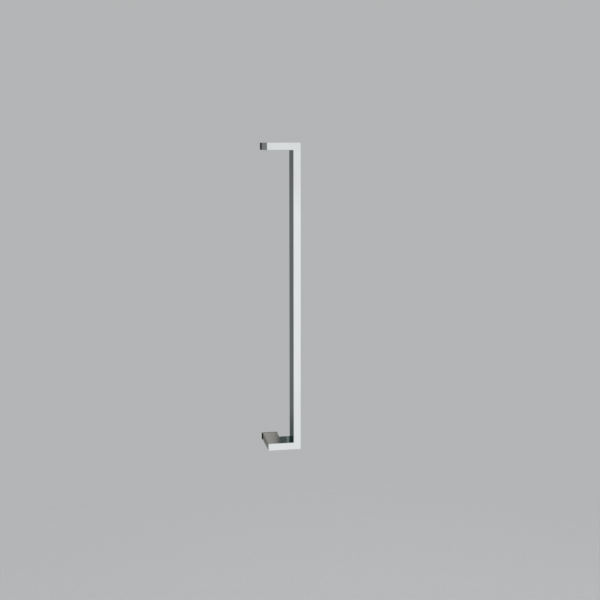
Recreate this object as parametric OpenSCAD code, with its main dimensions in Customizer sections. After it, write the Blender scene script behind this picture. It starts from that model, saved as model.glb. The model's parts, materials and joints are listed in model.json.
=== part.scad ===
// Offset push bar in square-edged flat steel.
// A tall bar stands on edge in front of the mounting face. At each end an arm runs sideways in the
// same plane and turns back into a leg that reaches the mounting face.
// Each leg slides over a spigot that is bolted on from behind, and a set screw in its inner side locks it.
// Millimetres, +Z up, +Y into the mounting face, +X from the fixings towards the bar.
// The origin lies on the mounting face, midway between the two fixings.

/* [Bar] */
// Distance between the centres of the two fixings
fixing_centres = 500; // [200:10:1200]
// Thickness of the flat steel, as the front shows it
steel_t = 12; // [11:0.5:20]
// Depth of the bar and of the arms, from front to back
bar_depth = 40; // [20:1:50]
// Overall width across the front, from the legs' outer side to the bar's outer side
overall_w = 55; // [46:1:90]
// Projection of the front face from the mounting face
projection = 70; // [60:1:120]
// Width of each leg, seen from the front
leg_w = 25; // [20:1:32]
// Width of the 45 degree break along every edge
edge_break = 0.4; // [0.1:0.05:1]

/* [Pads] */
// Thickness of the pad between a leg and the mounting face
pad_t = 1.5; // [0.5:0.1:4]
// How far a pad stands out past the leg on each side
pad_lip = 1.3; // [0:0.1:3]
// Radius of the pad's corners
pad_corner_r = 1; // [0.2:0.1:3]
// Clearance around the spigot in the pad's hole
pad_hole_clearance = 0.2; // [0.1:0.05:0.5]

/* [Spigots] */
// Diameter of a spigot
spigot_d = 8; // [7.5:0.1:9]
// Length of a spigot
spigot_l = 25; // [20:0.5:30]
// Radial clearance of a spigot in its leg
spigot_clearance = 0.05; // [0.02:0.01:0.1]
// Width of the 45 degree bevel at a spigot's inner end
spigot_bevel = 0.6; // [0.2:0.1:1.2]
// Clear depth in the leg past a spigot's inner end
bore_spare = 1.5; // [0.5:0.5:5]

/* [Fixing thread] */
// Diameter of the drilled hole for the fixing's thread
fixing_hole_d = 4.2; // [3.3:0.1:5]
// Depth of the fixing's thread in a spigot
fixing_hole_depth = 16; // [10:0.5:18]
// Depth of the bevel at the mouth of the fixing's hole
fixing_mouth = 0.4; // [0.1:0.05:0.45]

/* [Set screws] */
// Diameter of a set screw's thread
set_screw_d = 5; // [4:0.5:6]
// Length of a set screw
set_screw_l = 6; // [4:0.5:8]
// Distance from the mounting face to a set screw's axis
set_screw_y = 12; // [8:0.5:16]
// Radial clearance of a set screw in its hole
set_screw_clearance = 0.05; // [0.02:0.01:0.1]
// Width across the flats of a set screw's hexagon socket
socket_af = 2.5; // [2:0.5:2.5]
// Depth of a set screw's hexagon socket
socket_depth = 2.5; // [1.5:0.25:3]
// Width of the bevels at both ends of a set screw
set_screw_bevel = 0.5; // [0.2:0.1:0.8]
// Width of the bevel at the mouth of a set screw's hole
set_hole_mouth = 0.3; // [0.1:0.1:0.6]
// Depth of the flat on a spigot that a set screw bears on
flat_depth = 0.5; // [0.2:0.1:1]
// Length of that flat beyond the set screw, on each side
flat_margin = 1.5; // [0.5:0.1:3]

/* [Hidden] */
$fn = 96;

// Included angle of a twist drill's point
drill_point = 118;
// How far a cut runs past the face that it opens through
over = 1;

upper_z = fixing_centres / 2;
lower_z = -upper_z;
half_h = upper_z + steel_t / 2;
left_x = -leg_w / 2;
right_x = left_x + overall_w;
leg_end = pad_t;
arm_back = projection - bar_depth;
spigot_r = spigot_d / 2;
bore_r = spigot_r + spigot_clearance;
bore_end = spigot_l + bore_spare;
set_screw_r = set_screw_d / 2;
set_hole_r = set_screw_r + set_screw_clearance;
// The set screw's tip meets the flat on the spigot here
tip_x = spigot_r - flat_depth;

// A rectangle with its four corners cut at 45 degrees
module broken_rect(w, h, c) {
    polygon([[c, 0], [w - c, 0], [w, c], [w, h - c],
             [w - c, h], [c, h], [0, h - c], [0, c]]);
}

// A block from its lowest corner, with all twelve edges broken
module broken_block(from, size, c) {
    translate(from)
        intersection() {
            linear_extrude(size.z) broken_rect(size.x, size.y, c);
            translate([0, size.y, 0]) rotate([90, 0, 0])
                linear_extrude(size.y) broken_rect(size.x, size.z, c);
            rotate([90, 0, 90])
                linear_extrude(size.x) broken_rect(size.y, size.z, c);
        }
}

// Turns a shape drawn up +Z so that it stands out from the mounting face at height z
module out_of_face(z) {
    translate([0, 0, z]) rotate([90, 0, 0]) children();
}

// Turns a shape drawn up +Z so that it runs along +X from a spigot's axis, on the set screw's line
module along_set_screw(z) {
    translate([0, -set_screw_y, z]) rotate([0, 90, 0]) children();
}

// A drilled hole from height 0 to depth, with the drill's point beyond
module drilled(r, depth) {
    cylinder(r = r, h = depth);
    translate([0, 0, depth])
        cylinder(r1 = r, r2 = 0, h = r / tan(drill_point / 2));
}

// One end of the handle: the arm across the front and the leg back to its pad
module end_plate(z) {
    bottom = z - steel_t / 2;
    broken_block([left_x, -projection, bottom], [overall_w, bar_depth, steel_t], edge_break);
    broken_block([left_x, -projection, bottom], [leg_w, projection - leg_end, steel_t], edge_break);
}

// What is drilled and tapped in one leg
module leg_holes(z) {
    out_of_face(z)
        translate([0, 0, leg_end - over]) drilled(bore_r, bore_end - leg_end + over);
    along_set_screw(z) {
        cylinder(r = set_hole_r, h = leg_w / 2 + over);
        translate([0, 0, leg_w / 2 - set_hole_mouth])
            cylinder(r1 = set_hole_r, r2 = set_hole_r + set_hole_mouth + over, h = set_hole_mouth + over);
    }
}

// The handle itself, welded from flat steel and ground to one piece
module handle_body() {
    color([0.84, 0.86, 0.87])
        difference() {
            union() {
                broken_block([right_x - steel_t, -projection, -half_h],
                             [steel_t, bar_depth, 2 * half_h], edge_break);
                for (z = [upper_z, lower_z]) end_plate(z);
            }
            for (z = [upper_z, lower_z]) leg_holes(z);
        }
}

// The pad that one leg stands on
module pad(z) {
    w = leg_w + 2 * pad_lip;
    inner_w = w - 2 * pad_corner_r;
    inner_h = steel_t - 2 * pad_corner_r;
    color([0.08, 0.08, 0.08])
        out_of_face(z)
            difference() {
                linear_extrude(pad_t) {
                    square([w, inner_h], center = true);
                    square([inner_w, steel_t], center = true);
                    for (x = [-inner_w / 2, inner_w / 2], y = [-inner_h / 2, inner_h / 2])
                        translate([x, y]) circle(r = pad_corner_r);
                }
                translate([0, 0, -over])
                    cylinder(r = spigot_r + pad_hole_clearance, h = pad_t + 2 * over);
            }
}

// The round spigot inside one leg, with the fixing's hole in the end at the mounting face
module spigot(z) {
    flat_l = 2 * (set_screw_r + flat_margin);
    color([0.62, 0.63, 0.65])
        difference() {
            out_of_face(z)
                difference() {
                    union() {
                        cylinder(r = spigot_r, h = spigot_l - spigot_bevel);
                        translate([0, 0, spigot_l - spigot_bevel])
                            cylinder(r1 = spigot_r, r2 = spigot_r - spigot_bevel, h = spigot_bevel);
                    }
                    translate([0, 0, -over]) drilled(fixing_hole_d / 2, fixing_hole_depth + over);
                    translate([0, 0, -over])
                        cylinder(r1 = fixing_hole_d / 2 + fixing_mouth + over,
                                 r2 = fixing_hole_d / 2, h = fixing_mouth + over);
                }
            translate([tip_x, -set_screw_y - flat_l / 2, z - spigot_r])
                cube([spigot_r, flat_l, 2 * spigot_r]);
        }
}

// The hexagon socket set screw that locks one leg on its spigot
module set_screw(z) {
    shank_l = set_screw_l - 2 * set_screw_bevel;
    tip_r = set_screw_r - set_screw_bevel;
    color([0.30, 0.30, 0.31])
        along_set_screw(z)
            translate([0, 0, tip_x])
                difference() {
                    union() {
                        cylinder(r1 = tip_r, r2 = set_screw_r, h = set_screw_bevel);
                        translate([0, 0, set_screw_bevel]) cylinder(r = set_screw_r, h = shank_l);
                        translate([0, 0, set_screw_bevel + shank_l])
                            cylinder(r1 = set_screw_r, r2 = tip_r, h = set_screw_bevel);
                    }
                    translate([0, 0, set_screw_l - socket_depth])
                        cylinder(d = socket_af / cos(30), h = socket_depth + over, $fn = 6);
                }
}

module upper_pad() { pad(upper_z); }
module lower_pad() { pad(lower_z); }
module upper_spigot() { spigot(upper_z); }
module lower_spigot() { spigot(lower_z); }
module upper_set_screw() { set_screw(upper_z); }
module lower_set_screw() { set_screw(lower_z); }

handle_body();
upper_pad();
lower_pad();
upper_spigot();
lower_spigot();
upper_set_screw();
lower_set_screw();
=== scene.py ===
import json
import math

import bmesh
import bpy
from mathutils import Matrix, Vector


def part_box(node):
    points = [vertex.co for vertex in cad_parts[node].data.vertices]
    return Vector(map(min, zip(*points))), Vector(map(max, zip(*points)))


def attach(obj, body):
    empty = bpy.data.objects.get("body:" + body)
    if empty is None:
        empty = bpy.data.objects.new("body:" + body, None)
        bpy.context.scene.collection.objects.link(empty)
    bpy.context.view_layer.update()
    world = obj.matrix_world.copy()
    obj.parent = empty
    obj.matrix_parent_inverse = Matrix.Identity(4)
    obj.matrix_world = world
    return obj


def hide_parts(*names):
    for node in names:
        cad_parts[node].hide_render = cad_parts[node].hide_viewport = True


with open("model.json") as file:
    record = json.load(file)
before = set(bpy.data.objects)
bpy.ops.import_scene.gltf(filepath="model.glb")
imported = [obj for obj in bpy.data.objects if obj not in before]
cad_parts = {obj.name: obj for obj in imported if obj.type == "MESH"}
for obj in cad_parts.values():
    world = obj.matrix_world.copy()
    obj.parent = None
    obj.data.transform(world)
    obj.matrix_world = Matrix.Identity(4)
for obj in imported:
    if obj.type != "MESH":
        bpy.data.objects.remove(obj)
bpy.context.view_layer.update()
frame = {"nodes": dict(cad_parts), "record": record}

scene = bpy.context.scene
spigot_lo, spigot_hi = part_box("upper_spigot")

MM = 0.001
FIXING_Z = (spigot_lo.z + spigot_hi.z) / 2  # height of a fixing above or below the middle
FLOOR_Z = -1.05  # a pull of this length is fixed about this far above the floor
PALE = (0.455, 0.46, 0.465, 1.0)  # tone of the surround, to the eye and in the metal


class Tree:
    """Adds nodes to a tree and links them in one call."""

    def __init__(self, tree):
        self.tree = tree

    def put(self, socket, value):
        """Links a socket to another node's output, or sets it."""
        if isinstance(value, bpy.types.NodeSocket):
            self.tree.links.new(value, socket)
        else:
            socket.default_value = value

    def add(self, kind, inputs=None, **settings):
        node = self.tree.nodes.new("ShaderNode" + kind)
        for key, value in settings.items():
            setattr(node, key, value)
        for key, value in (inputs or {}).items():
            self.put(node.inputs[key], value)
        return node

    def math(self, operation, a, b=0.0, c=0.0, clamp=False):
        return self.add("Math", {0: a, 1: b, 2: c}, operation=operation, use_clamp=clamp).outputs[0]

    def span(self, value, low, high, smooth=False):
        """0 where value is low and 1 where it is high, which may be the smaller of the two."""
        how = "SMOOTHSTEP" if smooth else "LINEAR"
        inputs = {"Value": value, "From Min": low, "From Max": high}
        return self.add("MapRange", inputs, interpolation_type=how).outputs[0]

    def mix(self, factor, a, b, blend="MIX"):
        node = self.add("Mix", data_type="RGBA", blend_type=blend)
        for socket, value in ((node.inputs[0], factor), (node.inputs[6], a), (node.inputs[7], b)):
            self.put(socket, value)
        return node.outputs[2]

    def blend(self, factor, a, b):
        """Blends two numbers."""
        return self.add("Mix", {0: factor, 2: a, 3: b}, data_type="FLOAT").outputs[0]

    def ramp(self, factor, stops):
        node = self.add("ValToRGB", {"Fac": factor})
        elements = node.color_ramp.elements
        while len(elements) < len(stops):
            elements.new(0.5)
        for element, (place, colour) in zip(elements, stops):
            element.position = place
            element.color = colour
        return node.outputs["Color"]

    def noise(self, place, size, detail=2.0, roughness=0.5):
        """Noise whose features measure about size, which is one length or one for each axis, in metres."""
        sizes = size if isinstance(size, tuple) else (size,) * 3
        scaled = self.add("Mapping", {"Vector": place, "Scale": tuple(1.0 / s for s in sizes)}).outputs[0]
        inputs = {"Vector": scaled, "Scale": 1.0, "Detail": detail, "Roughness": roughness}
        return self.add("TexNoise", inputs).outputs["Fac"]

    def radius(self, x, y):
        """Distance from an axis."""
        flat = self.add("CombineXYZ", {"X": x, "Y": y}).outputs[0]
        return self.add("VectorMath", {0: flat}, operation="LENGTH").outputs["Value"]

    def see_through(self, share, shader):
        """Closes a material with a shader that lets a share of what is behind it through."""
        shaders = {0: share, 1: shader, 2: self.add("BsdfTransparent").outputs[0]}
        self.add("OutputMaterial", {"Surface": self.add("MixShader", shaders).outputs[0]})


def new_material(name):
    """An empty node material, and the means to fill it."""
    mat = bpy.data.materials.new(name)
    mat.use_nodes = True
    mat.node_tree.nodes.clear()
    return mat, Tree(mat.node_tree)


def principled(mat, t, **inputs):
    """Closes a material with a Principled shader."""
    named = {key.replace("_", " "): value for key, value in inputs.items()}
    t.add("OutputMaterial", {"Surface": t.add("BsdfPrincipled", named).outputs[0]})
    return mat


def grey(value, tint=(1.0, 1.0, 1.0)):
    return (*(value * c for c in tint), 1.0)


# Materials

ARM_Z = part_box("upper_pad")[0].z  # height of the arms' inner faces, above and below the middle
STEEL_TINT = (0.975, 1.0, 1.008)  # the metal's own cool tint
LINE_W = 0.0008  # width and length of the polishing lines
LINE_L = 0.07
LEVEL = 0.8  # a face whose normal rises more steeply than this is a top or an underside


def polished_steel():
    """Mirror-polished steel. Fine polishing lines run along the bar, the arms and the legs, and the ground
    faces swell a little."""
    mat, t = new_material("polished_steel")
    coords = t.add("TexCoord")
    place = coords.outputs["Object"]
    along_bar = t.noise(place, (LINE_W, LINE_W, LINE_L), 3.0, 0.6)
    along_ends = t.noise(place, (LINE_L, LINE_L, LINE_W), 3.0, 0.6)
    along_tops = t.noise(place, (LINE_L, LINE_W, LINE_L), 3.0, 0.6)
    high = t.math("ABSOLUTE", t.add("SeparateXYZ", {"Vector": place}).outputs["Z"])
    facing_up = t.math("ABSOLUTE", t.add("SeparateXYZ", {"Vector": coords.outputs["Normal"]}).outputs["Z"])
    lines = t.blend(t.math("GREATER_THAN", high, ARM_Z), along_bar, along_ends)
    lines = t.blend(t.math("GREATER_THAN", facing_up, LEVEL), lines, along_tops)
    haze = t.noise(place, 0.026, 4.0, 0.55)
    swell = t.noise(place, (0.05, 0.05, 0.12), 1.0, 0.4)
    clean = t.ramp(haze, [(0.3, grey(0.600, STEEL_TINT)), (0.7, grey(0.620, STEEL_TINT))])
    tone = t.mix(1.0, clean, t.ramp(lines, [(0.3, grey(0.975)), (0.7, grey(1.0))]), "MULTIPLY")
    rough = t.math("MULTIPLY_ADD", lines, 0.03, t.math("MULTIPLY_ADD", haze, 0.025, 0.006))
    fine = t.add("Bump", {"Strength": 0.05, "Distance": 0.00002, "Height": lines}).outputs[0]
    wavy = {"Strength": 1.0, "Distance": 0.00006, "Height": swell, "Normal": fine}
    broad = t.add("Bump", wavy).outputs[0]
    return principled(mat, t, Base_Color=tone, Metallic=1.0, Roughness=rough, Normal=broad)


def pad_black():
    """Moulded black plastic with a fine grain."""
    mat, t = new_material("pad_black")
    place = t.add("TexCoord").outputs["Object"]
    grain = t.noise(place, 0.00045)
    mottle = t.noise(place, 0.006, 3.0)
    tone = t.ramp(mottle, [(0.3, grey(0.006)), (0.75, grey(0.012, (1.0, 1.0, 1.04)))])
    rough = t.math("MULTIPLY_ADD", grain, 0.2, 0.55)
    bump = t.add("Bump", {"Strength": 0.4, "Distance": 0.00005, "Height": grain}).outputs[0]
    return principled(mat, t, Base_Color=tone, Roughness=rough, Specular_IOR_Level=0.14, Normal=bump)


def turned_steel():
    """Bright steel with the fine rings that a lathe leaves round a fixing's axis."""
    mat, t = new_material("turned_steel")
    place = t.add("TexCoord").outputs["Object"]
    parts = t.add("SeparateXYZ", {"Vector": place})
    from_axis = t.math("SUBTRACT", t.math("ABSOLUTE", parts.outputs["Z"]), FIXING_Z)
    along = t.math("ADD", t.radius(parts.outputs["X"], from_axis), parts.outputs["Y"])
    ring = 0.00015
    rings = t.math("SINE", t.math("MULTIPLY", along, 2 * math.pi / ring))
    mottle = t.noise(place, 0.0014, 3.0)
    tone = t.ramp(mottle, [(0.3, grey(0.46, (1.0, 1.01, 1.03))), (0.75, grey(0.58, (1.0, 1.01, 1.02)))])
    rough = t.math("MULTIPLY_ADD", mottle, 0.15, 0.22)
    bump = t.add("Bump", {"Strength": 0.3, "Distance": 0.00003, "Height": rings}).outputs[0]
    return principled(mat, t, Base_Color=tone, Metallic=1.0, Roughness=rough, Normal=bump)


def blackened_steel():
    """The dark oxide finish of a hardened screw, rubbed brighter in places."""
    mat, t = new_material("blackened_steel")
    place = t.add("TexCoord").outputs["Object"]
    rub = t.noise(place, 0.0011, 4.0, 0.6)
    tone = t.ramp(rub, [(0.45, grey(0.035, (1.0, 1.0, 1.08))), (0.8, grey(0.16, (1.0, 1.0, 1.03)))])
    rough = t.math("MULTIPLY_ADD", rub, 0.2, 0.3)
    bump = t.add("Bump", {"Strength": 0.2, "Distance": 0.00003, "Height": rub}).outputs[0]
    return principled(mat, t, Base_Color=tone, Metallic=0.9, Roughness=rough, Normal=bump)


FINISHES = {
    "polished_steel": polished_steel(),
    "pad_black": pad_black(),
    "spigot_steel": turned_steel(),
    "screw_steel": blackened_steel(),
}
for part in frame["record"]["subparts"]:
    node = frame["nodes"][part["node"]]
    node.data.materials.clear()
    node.data.materials.append(FINISHES[part["material_slot"]])


def smooth_holes(node):
    """Shades round faces smoothly and keeps every edge over 30 degrees sharp, by a modifier."""
    tree = bpy.data.node_groups.new("smooth_by_angle", "GeometryNodeTree")
    tree.interface.new_socket("Geometry", in_out="INPUT", socket_type="NodeSocketGeometry")
    tree.interface.new_socket("Geometry", in_out="OUTPUT", socket_type="NodeSocketGeometry")
    start = tree.nodes.new("NodeGroupInput")
    end = tree.nodes.new("NodeGroupOutput")
    faces = tree.nodes.new("GeometryNodeSetShadeSmooth")
    faces.domain = "FACE"
    angle = tree.nodes.new("GeometryNodeInputMeshEdgeAngle")
    steep = tree.nodes.new("FunctionNodeCompare")
    steep.data_type = "FLOAT"
    steep.operation = "GREATER_THAN"
    steep.inputs["B"].default_value = math.radians(30)
    edges = tree.nodes.new("GeometryNodeSetShadeSmooth")
    edges.domain = "EDGE"
    edges.inputs["Shade Smooth"].default_value = False
    tree.links.new(start.outputs[0], faces.inputs["Geometry"])
    tree.links.new(faces.outputs[0], edges.inputs["Geometry"])
    tree.links.new(angle.outputs["Unsigned Angle"], steep.inputs["A"])
    tree.links.new(steep.outputs[0], edges.inputs["Selection"])
    tree.links.new(edges.outputs[0], end.inputs[0])
    node.modifiers.new("smooth_by_angle", "NODES").node_group = tree


smooth_holes(frame["nodes"]["handle_body"])


# Fixing pieces with their threads, and the pads. Their shapes are worked out in millimetres.

AROUND = 48  # points in a loop: a multiple of six, so that a hexagon's corners fall on points
TURNED_SHARP = 35  # degrees past which an edge stays sharp on the turned pieces and on the pads
PAD_SHARP = 50
PITCH = 0.8  # of an M5 thread
GROOVE = 0.37  # depth of the thread's grooves
FLANK = 1.35  # steepness of the grooves' sides: at 1 they would leave no flat crest or root
SLICES = 8  # loops in one turn of a thread
RUN_OUT = 0.5  # length over which a thread thins out at its ends
LEAD = 0.1  # from a mouth's bevel or a set screw's end to where the hole's thread begins
FIXING_R = frame["record"]["mounts"][0]["dims"]["hole_r_mm"]
FIXING_DEPTH = 16.0
FIXING_MOUTH = 0.4
FIXING_PLAIN = 1.5  # length of the hole without thread, at its inner end
POINT_H = 1.26  # height of the drill's point
POINT_R = 0.02  # radius of the small cap at its tip
SPIGOT_BEVEL = 0.6
RIM = 0.25  # bevel round a spigot's outer end
FLAT_MARGIN = 1.5  # length of a spigot's flat beyond the set screw, on each side
STEP = 0.001  # length of the walls at the flat's ends
SOCKET = 2.5  # width across the flats and depth of the hexagon socket
SOCKET_MOUTH = 0.22  # how much wider the socket's mouth is
SOCKET_BEVEL = 0.12  # depth of the bevel at its mouth
SOCKET_SHOULDER = 0.1  # from the flats' end to the drilled point under them, and to that point's end
SOCKET_POINT = 0.6
SOCKET_DRILL_R = 0.9  # radius of the drilled point at its start, and of the small cap at its end
SOCKET_TIP_R = 0.03
SCREW_BEVEL = 0.5
CUP_R = 1.35  # radius of the cup point's flat rim, outside
CUP_RIM = 0.25  # width of that rim
CUP_DEPTH = 0.45
CUP_TIP_R = 0.05  # radius of the small cap at the cup's bottom
HOLE_GAP = 0.046  # from a set screw's thread to the hole's wall
HOLE_MOUTH = 0.3
WALL = 0.016  # steel left outside the grooves in a set screw's hole
PAD_CORNER = 1.0
PAD_CLEARANCE = 0.2
PAD_SOFT = 0.18  # rounding of the pads' edges
PAD_TURN = 8  # steps in a pad's corner, and along its long and short sides
PAD_LONG = 18
PAD_SHORT = 8


def box_mm(node):
    """A CAD node's lowest and highest corners in millimetres."""
    lo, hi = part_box(node)
    return lo / MM, hi / MM


def make_piece(name, verts, faces, slot, sharp, replaced=None):
    """A piece of the object from points in millimetres, with normals that look out."""
    mesh = bpy.data.meshes.new(name)
    mesh.from_pydata([tuple(MM * c for c in v) for v in verts], [], faces)
    work = bmesh.new()
    work.from_mesh(mesh)
    bmesh.ops.recalc_face_normals(work, faces=work.faces)
    work.to_mesh(mesh)
    work.free()
    mesh.materials.append(FINISHES[slot])
    mesh.polygons.foreach_set("use_smooth", [True] * len(mesh.polygons))
    mesh.set_sharp_from_angle(angle=math.radians(sharp))
    piece = bpy.data.objects.new(name, mesh)
    scene.collection.objects.link(piece)
    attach(piece, "root")
    if replaced:
        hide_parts(replaced)


def bands(count, around, ring):
    """Faces between loops of points. A ring joins its last loop to its first, other shapes end in caps."""
    faces = []
    for i in range(count if ring else count - 1):
        j = (i + 1) % count
        for k in range(around):
            n = (k + 1) % around
            faces.append((i * around + k, i * around + n, j * around + n, j * around + k))
    if not ring:
        faces.append(tuple(reversed(range(around))))
        faces.append(tuple(range((count - 1) * around, count * around)))
    return faces


def turned(name, loops, place, slot, replaced=None, ring=False):
    """A piece made of loops round an axis. A loop is a place along the axis and a radius, which is a number
    or a function of the angle. place puts a point, given across, across and along the axis, into the
    frame."""
    verts = []
    for along, radius in loops:
        for k in range(AROUND):
            a = 2 * math.pi * k / AROUND
            r = radius(a) if callable(radius) else radius
            verts.append(place(r * math.cos(a), r * math.sin(a), along))
    make_piece(name, verts, bands(len(loops), AROUND, ring), slot, TURNED_SHARP, replaced)


def groove(a, along):
    """0 on a thread's crest and 1 in its root, at an angle and a place along the axis."""
    turn = (along / PITCH - a / (2 * math.pi)) % 1.0
    return min(1.0, max(0.0, 0.5 + FLANK * (abs(2.0 * turn - 1.0) - 0.5)))


def threaded(r, deep, start, end):
    """Loops of a screw thread that runs out at both ends. deep is the change of radius in the grooves."""
    loops = []
    steps = round(SLICES * (end - start) / PITCH)
    for i in range(steps + 1):
        along = start + (end - start) * i / steps
        share = deep * min(1.0, (along - start) / RUN_OUT, (end - along) / RUN_OUT)
        loops.append((along, lambda a, along=along, share=share: r + share * groove(a, along)))
    return loops


def hexagon(across):
    """The radius of a hexagon with corners at the multiples of 60 degrees."""
    return lambda a: across / 2 / math.cos(math.radians(math.degrees(a) % 60.0 - 30.0))


def make_spigot(node, screw_node):
    """A spigot with a tapped hole in its outer end and a flat for the set screw."""
    lo, hi = box_mm(node)
    screw_lo, screw_hi = box_mm(screw_node)
    r, length, z = (hi.z - lo.z) / 2, hi.y - lo.y, (lo.z + hi.z) / 2
    flat_x = screw_lo.x
    flat_start = -screw_hi.y - FLAT_MARGIN
    flat_end = -screw_lo.y + FLAT_MARGIN

    def place(x, y, along):
        if flat_start <= along <= flat_end:
            x = min(x, flat_x)
        return (x, -along, z + y)

    thread = threaded(FIXING_R, GROOVE, FIXING_MOUTH + LEAD, FIXING_DEPTH - FIXING_PLAIN)
    loops = [
        (FIXING_DEPTH + POINT_H, POINT_R), (FIXING_DEPTH, FIXING_R), *reversed(thread),
        (FIXING_MOUTH, FIXING_R), (0.0, FIXING_R + FIXING_MOUTH),
        (0.0, r - RIM), (RIM, r), (flat_start - STEP, r), (flat_start, r),
        (flat_end, r), (flat_end + STEP, r),
        (length - SPIGOT_BEVEL, r), (length, r - SPIGOT_BEVEL), (length, 0.5),
    ]
    turned(node + "_turned", loops, place, "spigot_steel", node)


def make_set_screw(node):
    """A set screw with a cup point and a hexagon socket."""
    lo, hi = box_mm(node)
    r, length = (hi.z - lo.z) / 2, hi.x - lo.x
    y, z = (lo.y + hi.y) / 2, (lo.z + hi.z) / 2
    bottom = length - SOCKET

    def place(a, b, along):
        return (lo.x + along, y + a, z + b)

    loops = [
        (CUP_DEPTH, CUP_TIP_R), (0.0, CUP_R - CUP_RIM), (0.0, CUP_R), (SCREW_BEVEL, r - SCREW_BEVEL),
        *threaded(r, -GROOVE, SCREW_BEVEL + 0.05, length - SCREW_BEVEL),
        (length - SCREW_BEVEL + 0.02, r - 0.08), (length, r - SCREW_BEVEL),
        (length, hexagon(SOCKET + SOCKET_MOUTH)), (length - SOCKET_BEVEL, hexagon(SOCKET)),
        (bottom, hexagon(SOCKET)),
        (bottom - SOCKET_SHOULDER, SOCKET_DRILL_R), (bottom - SOCKET_POINT, SOCKET_TIP_R),
    ]
    turned(node + "_threaded", loops, place, "screw_steel", node)


def make_tapping(name, screw_node):
    """What shows of the tapped hole in a leg, outside its set screw."""
    lo, hi = box_mm(screw_node)
    y, z = (lo.y + hi.y) / 2, (lo.z + hi.z) / 2
    hole_r = (hi.z - lo.z) / 2 + HOLE_GAP
    start = hi.x + LEAD
    end = -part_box("handle_body")[0].x / MM - HOLE_MOUTH

    def place(a, b, along):
        return (along, y + a, z + b)

    loops = threaded(hole_r - WALL - GROOVE, GROOVE, start, end) + [(end, hole_r), (start, hole_r)]
    turned(name, loops, place, "polished_steel", ring=True)


def pad_outline(half_w, half_h, corner):
    """Points of a rectangle with round corners, with more points along its straight sides."""
    centres = [(half_w - corner, half_h - corner), (corner - half_w, half_h - corner),
               (corner - half_w, corner - half_h), (half_w - corner, corner - half_h)]
    points = []
    for quarter, (cx, cy) in enumerate(centres):
        for i in range(PAD_TURN + 1):
            a = (quarter + i / PAD_TURN) * math.pi / 2
            points.append((cx + corner * math.cos(a), cy + corner * math.sin(a)))
        nx, ny = centres[(quarter + 1) % 4]
        turn = (quarter + 1) * math.pi / 2
        out = (corner * math.cos(turn), corner * math.sin(turn))
        between = PAD_LONG if quarter % 2 == 0 else PAD_SHORT
        for i in range(1, between):
            u = i / between
            points.append((cx + (nx - cx) * u + out[0], cy + (ny - cy) * u + out[1]))
    return points


def make_pad(node):
    """A pad with softened edges and a hole for the spigot."""
    lo, hi = box_mm(node)
    half_w, half_h, thick = (hi.x - lo.x) / 2, (hi.z - lo.z) / 2, hi.y - lo.y
    z = (lo.z + hi.z) / 2
    hole_r = (spigot_hi.z - spigot_lo.z) / 2 / MM + PAD_CLEARANCE
    rim = pad_outline(half_w, half_h, PAD_CORNER)
    hole = [(hole_r * x / math.hypot(x, y), hole_r * y / math.hypot(x, y)) for x, y in rim]
    turns = [math.radians(d) for d in (0, 30, 60, 90)]
    front = [(PAD_SOFT * (1 - math.sin(a)), PAD_SOFT * (1 - math.cos(a))) for a in turns]
    edge = front + [(inset, thick - along) for inset, along in reversed(front)]
    loops = [(hole, 0.0)]
    for inset, along in edge:
        loops.append((pad_outline(half_w - inset, half_h - inset, PAD_CORNER - inset), along))
    loops.append((hole, thick))
    verts = [(x, -along, z + y) for points, along in loops for x, y in points]
    make_piece(node + "_moulded", verts, bands(len(loops), len(rim), True), "pad_black", PAD_SHARP, node)


for end in ("upper", "lower"):
    make_spigot(end + "_spigot", end + "_set_screw")
    make_set_screw(end + "_set_screw")
    make_tapping(end + "_screw_tapping", end + "_set_screw")
    make_pad(end + "_pad")


# Camera

FRAME_PX = 600  # width of the photograph
LENS_PX = 1007.8  # focal length in its pixels. This and the values below were fitted to the edges in it.
CAMERA_PLACE = (-0.2607, -1.686, 0.2573)
CAMERA_DOWN = 8.920  # how many degrees it looks down
CAMERA_RIGHT = 10.582  # how many degrees it looks to the right

camera_data = bpy.data.cameras.new("camera")
camera_data.sensor_width = 36.0
camera_data.lens = LENS_PX / FRAME_PX * camera_data.sensor_width
camera_data.clip_start = 0.05
camera_data.clip_end = 100.0
camera = bpy.data.objects.new("camera", camera_data)
camera.location = CAMERA_PLACE
camera.rotation_euler = (math.radians(90.0 - CAMERA_DOWN), 0.0, -math.radians(CAMERA_RIGHT))
scene.collection.objects.link(camera)
scene.camera = camera


# Floor, surround and lights

FLOOR_R = 3.2
FLOOR_FADE = (1.1, 2.6)  # distances from its middle between which the floor fades out
AIM = Vector((0.02, -0.04, 0.0))  # about the object's middle


def stage_mesh(name, verts, faces, mat, only_mirrored=False):
    """A piece of the studio. One that is only mirrored neither shows nor lights or shades the scene."""
    mesh = bpy.data.meshes.new(name)
    mesh.from_pydata(verts, [], faces)
    mesh.materials.append(mat)
    obj = bpy.data.objects.new(name, mesh)
    scene.collection.objects.link(obj)
    if only_mirrored:
        obj.visible_camera = False
        obj.visible_diffuse = False
        obj.visible_shadow = False
    return obj


def disc(radius, z):
    """Points and one face of a flat disc."""
    count = 96
    verts = []
    for k in range(count):
        a = 2 * math.pi * k / count
        verts.append((radius * math.cos(a), radius * math.sin(a), z))
    return verts, [tuple(range(count))]


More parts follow.
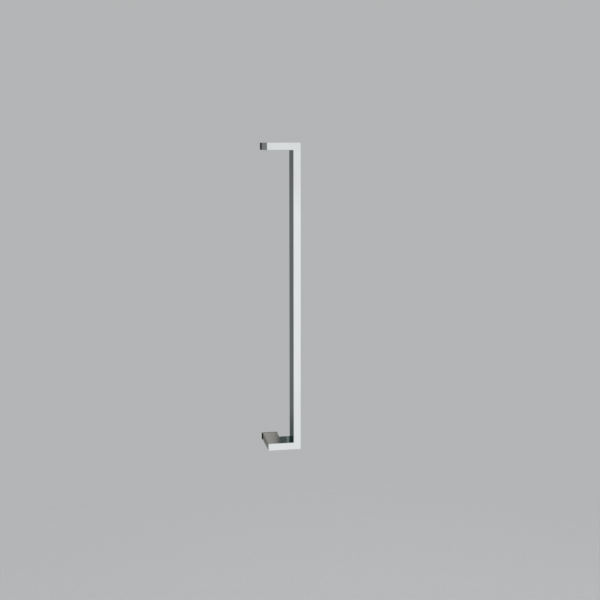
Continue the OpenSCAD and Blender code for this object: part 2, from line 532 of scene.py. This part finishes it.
def make_floor():
    """A plain pale floor that fades into the surround some way out."""
    mat, t = new_material("floor")
    place = t.add("TexCoord").outputs["Object"]
    parts = t.add("SeparateXYZ", {"Vector": place})
    radius = t.radius(parts.outputs["X"], parts.outputs["Y"])
    fade = t.span(radius, *FLOOR_FADE, smooth=True)
    fleck = t.noise(place, 0.004)
    tone = t.ramp(fleck, [(0.35, grey(0.575, (1.0, 1.01, 1.02))), (0.65, grey(0.605, (1.0, 1.01, 1.02)))])
    shade = t.add("BsdfDiffuse", {"Color": tone}).outputs[0]
    t.see_through(fade, shade)
    stage_mesh("floor", *disc(FLOOR_R, FLOOR_Z), mat)


def make_world():
    """A pale surround: one tone to the eye and in the metal, and plain soft light on everything else."""
    world = bpy.data.worlds.new("studio")
    scene.world = world
    world.use_nodes = True
    world.node_tree.nodes.clear()
    t = Tree(world.node_tree)
    path = t.add("LightPath")
    seen = t.math("ADD", path.outputs["Is Camera Ray"], path.outputs["Is Glossy Ray"])
    seen = t.math("ADD", seen, path.outputs["Is Transmission Ray"], clamp=True)
    colour = t.mix(seen, grey(0.66, (1.0, 1.015, 1.03)), PALE)
    t.add("OutputWorld", {"Surface": t.add("Background", {"Color": colour}).outputs[0]})


def soft_light(name, place, size, radiance):
    """A rectangular soft light that faces the object's middle. The metal doesn't mirror it."""
    data = bpy.data.lights.new(name, "AREA")
    data.shape = "RECTANGLE"
    data.size, data.size_y = size
    data.energy = radiance * math.pi * size[0] * size[1]
    light = bpy.data.objects.new(name, data)
    light.location = place
    light.rotation_euler = (AIM - light.location).to_track_quat("-Z", "Y").to_euler()
    light.visible_camera = False
    light.visible_glossy = False
    scene.collection.objects.link(light)


FAR = 14.0  # distance of the studio panels that the polished faces mirror
DARK_TINT = (0.965, 1.01, 1.0)  # tints of the panels, whole or in part
CREAM_TINT = (1.0, 1.0, 0.88)
WARM_TINT = (1.04, 1.0, 0.93)
TEAL_TINT = (0.94, 1.19, 1.14)


def out(degrees):
    """How far out on a panel that stands FAR away a direction meets it."""
    return FAR * math.tan(math.radians(degrees))


def graded(t, value, stops, tint=(1.0, 1.0, 1.0)):
    """A ramp along one direction of a panel. A stop is a direction in degrees, a tone, and a tint where it
    has one of its own."""
    low, high = out(stops[0][0]), out(stops[-1][0])
    colours = []
    for at, tone, *own in stops:
        colours.append(((out(at) - low) / (high - low), grey(tone, *(own or [tint]))))
    return t.ramp(t.span(value, low, high), colours)


def panel(name, turn, across, up, soft, tint=(1.0, 1.0, 1.0), nearer=0.0):
    """A graded studio panel. It stands behind the object, turned about Z to the right by turn degrees.
    across gives its tones from left to right and up its strength from bottom to top, both by the direction
    in degrees. soft gives the degrees over which its left, right, lower and upper edges fade. nearer brings
    it forward."""
    mat, t = new_material(name)
    parts = t.add("SeparateXYZ", {"Vector": t.add("TexCoord").outputs["Object"]})
    x, z = parts.outputs["X"], parts.outputs["Z"]
    tone = t.mix(1.0, graded(t, x, across, tint), graded(t, z, up), "MULTIPLY")
    cover = 1.0
    ends = ((x, across[0][0], 1), (x, across[-1][0], -1), (z, up[0][0], 1), (z, up[-1][0], -1))
    for (value, at, inward), width in zip(ends, soft):
        if width:
            edge = t.span(value, out(at), out(at + inward * width), smooth=True)
            cover = t.math("MULTIPLY", cover, edge)
    glow = t.add("Emission", {"Color": tone, "Strength": 1.0}).outputs[0]
    t.see_through(t.math("SUBTRACT", 1.0, cover), glow)
    left, right, low, high = out(across[0][0]), out(across[-1][0]), out(up[0][0]), out(up[-1][0])
    y = FAR - nearer
    verts = [(left, y, low), (right, y, low), (right, y, high), (left, y, high)]
    obj = stage_mesh(name, verts, [(0, 1, 2, 3)], mat, only_mirrored=True)
    obj.rotation_euler = (0.0, 0.0, -math.radians(turn))


def level_card(name, z, reach, front, rear, fade):
    """A round card above or below the object. front and rear give its tones by the distance from its middle,
    on its front and rear halves, and fade the distances between which its edge thins out."""
    mat, t = new_material(name)
    parts = t.add("SeparateXYZ", {"Vector": t.add("TexCoord").outputs["Object"]})
    radius = t.radius(parts.outputs["X"], parts.outputs["Y"])
    share = t.span(radius, 0.0, reach)
    halves = [t.ramp(share, [(r / reach, grey(tone)) for r, tone in pairs]) for pairs in (front, rear)]
    rearward = t.math("DIVIDE", parts.outputs["Y"], t.math("ADD", radius, 0.05))
    tone = t.mix(t.span(rearward, -0.5, 0.5, smooth=True), *halves)
    glow = t.add("Emission", {"Color": tone, "Strength": 1.0}).outputs[0]
    cover = t.span(radius, fade[1], fade[0], smooth=True)
    t.see_through(t.math("SUBTRACT", 1.0, cover), glow)
    stage_mesh(name, *disc(reach, z), mat, only_mirrored=True)


make_floor()
make_world()

soft_light("front", (0.6, -2.3, 0.2), (1.8, 1.4), 0.8)
soft_light("key", (-1.6, -1.9, 2.1), (1.2, 1.2), 3.0)
soft_light("fill", (2.4, -0.8, 0.9), (1.2, 1.6), 1.2)
soft_light("rear", (0.9, 2.6, 1.6), (1.6, 1.2), 1.2)

# The rear half is dark, so that every edge of the metal parts a bright face from a dark one
panel("rear_flag", 0, [(-50, 0.36), (-20, 0.20), (0, 0.24), (20, 0.17), (50, 0.32)],
      [(-36, 1.3), (-17, 1.0), (10, 1.0), (38, 1.7)], (9, 9, 8, 8))
# In front of it, on the left: what the left faces mirror. The corner flag is what shows where the lower
# arm's top and the bar's side mirror each other: a nearly black teal sheet, so that the patch there is a
# painted dark reflection.
panel("side_flag", 0, [(-15, 0.170), (-9.6, 0.172), (-9.2, 0.182)],
      [(-25, 0.9), (-15.3, 0.93), (-13.6, 1.0), (-5, 1.0), (-2.6, 0.97), (0, 0.86), (12, 0.86)],
      (3, 0, 5, 3), DARK_TINT, 0.1)
# The leg flag is what the legs' left sides mirror: its tones paint those sides lighter towards their front
# ends, with painted shade towards the door ends.
panel("leg_flag", 0,
      [(-9.2, 0.182), (-8.8, 0.235), (-8.7, 0.22), (-8.55, 0.19), (-8.4, 0.165), (-8.2, 0.125),
       (-8.0, 0.12)],
      [(-25, 1.0, CREAM_TINT), (-12, 1.0, CREAM_TINT), (-6, 1.0), (-2, 1.1), (0, 1.22), (12, 1.22)],
      (0, 0.1, 5, 3), DARK_TINT, 0.1)
# The low flag is what the lower end of the bar's left side mirrors: a dark teal sheet, so that this end is a
# painted shade reflection, darker and greener towards the bottom.
panel("low_flag", 0, [(-14, 0.084), (-9.3, 0.084)], [(-24, 1.0), (-15.6, 1.0)], (2, 0.4, 2, 1.7),
      TEAL_TINT, 0.2)
panel("corner_flag", 0, [(-14, 0.036), (-7.5, 0.036)], [(10, 1.0), (23, 1.0)], (3, 0.5, 3, 5),
      (0.5, 1.16, 1.04), 0.2)
# On the right, high up: what the lower end's top faces mirror. Its warm band is painted light on the lower
# leg's top, its dark teal band painted shade on the lower arm's top beside the bar, and its thin bright
# stripe a painted highlight line on that arm's top next to the bar.
panel("high_flag", 0,
      [(7.4, 0.39, WARM_TINT), (8.68, 0.39, WARM_TINT), (8.8, 0.36, WARM_TINT), (9.0, 0.33, WARM_TINT),
       (9.16, 0.28, WARM_TINT), (9.33, 0.16, (1.0, 1.04, 1.0)), (9.44, 0.096, TEAL_TINT),
       (9.5, 0.085, TEAL_TINT), (9.79, 0.086, TEAL_TINT), (9.89, 0.14, TEAL_TINT),
       (9.965, 0.36, TEAL_TINT), (9.99, 0.08, TEAL_TINT), (14, 0.09, TEAL_TINT)],
      [(10, 1.0), (23, 1.0)], (0.6, 3, 3, 5), DARK_TINT, 0.1)
# The sides and the front are bright up to eye level, with a darker band on each side towards the front,
# so that no two faces that meet at an edge have one tone
UP = [(-36, 0.5), (-20, 0.95), (-16, 0.965), (-14, 1.0), (-3.6, 1.01), (-2.6, 0.96), (-1.5, 0.925),
      (2, 0.92), (9, 0.64), (18, 0.42), (38, 0.38)]
panel("right_card", 90,
      [(-44, 0.9), (-24, 0.98), (-14, 1.1), (-6, 1.1), (0, 1.05), (12, 0.85), (24, 0.52), (33, 0.52),
       (45, 0.95)],
      UP, (14, 0, 8, 8))
panel("front_card", 180,
      [(-45, 0.95), (-25, 1.05), (-15, 1.27), (-6, 1.27), (0, 1.05), (20, 1.02), (45, 0.95)],
      UP, (0, 0, 8, 8))
panel("left_card", -90,
      [(-45, 0.95), (-34, 0.52), (-25, 0.52), (-15, 1.0), (-9, 1.18), (0, 1.05), (20, 0.98), (44, 0.9)],
      UP, (0, 14, 8, 8))
# The low card is what the metal mirrors in place of the plain floor: a painted reflection of light and shade
# on the floor, bright under the object and darker towards the rear.
level_card("low_card", FLOOR_Z + 0.01, 2.6,
           [(0.0, 0.8), (0.5, 0.6), (1.1, 0.45), (1.8, 0.55), (2.6, 0.7)],
           [(0.0, 0.8), (0.5, 0.5), (1.1, 0.28), (1.8, 0.2), (2.6, 0.2)], (1.9, 2.5))
level_card("high_card", 4.0, 7.0,
           [(0.0, 1.2), (1.4, 1.15), (3.0, 0.8), (7.0, 0.42)],
           [(0.0, 1.2), (1.4, 1.0), (3.0, 0.55), (7.0, 0.34)], (5.0, 6.9))


# View

scene.view_settings.view_transform = "Standard"
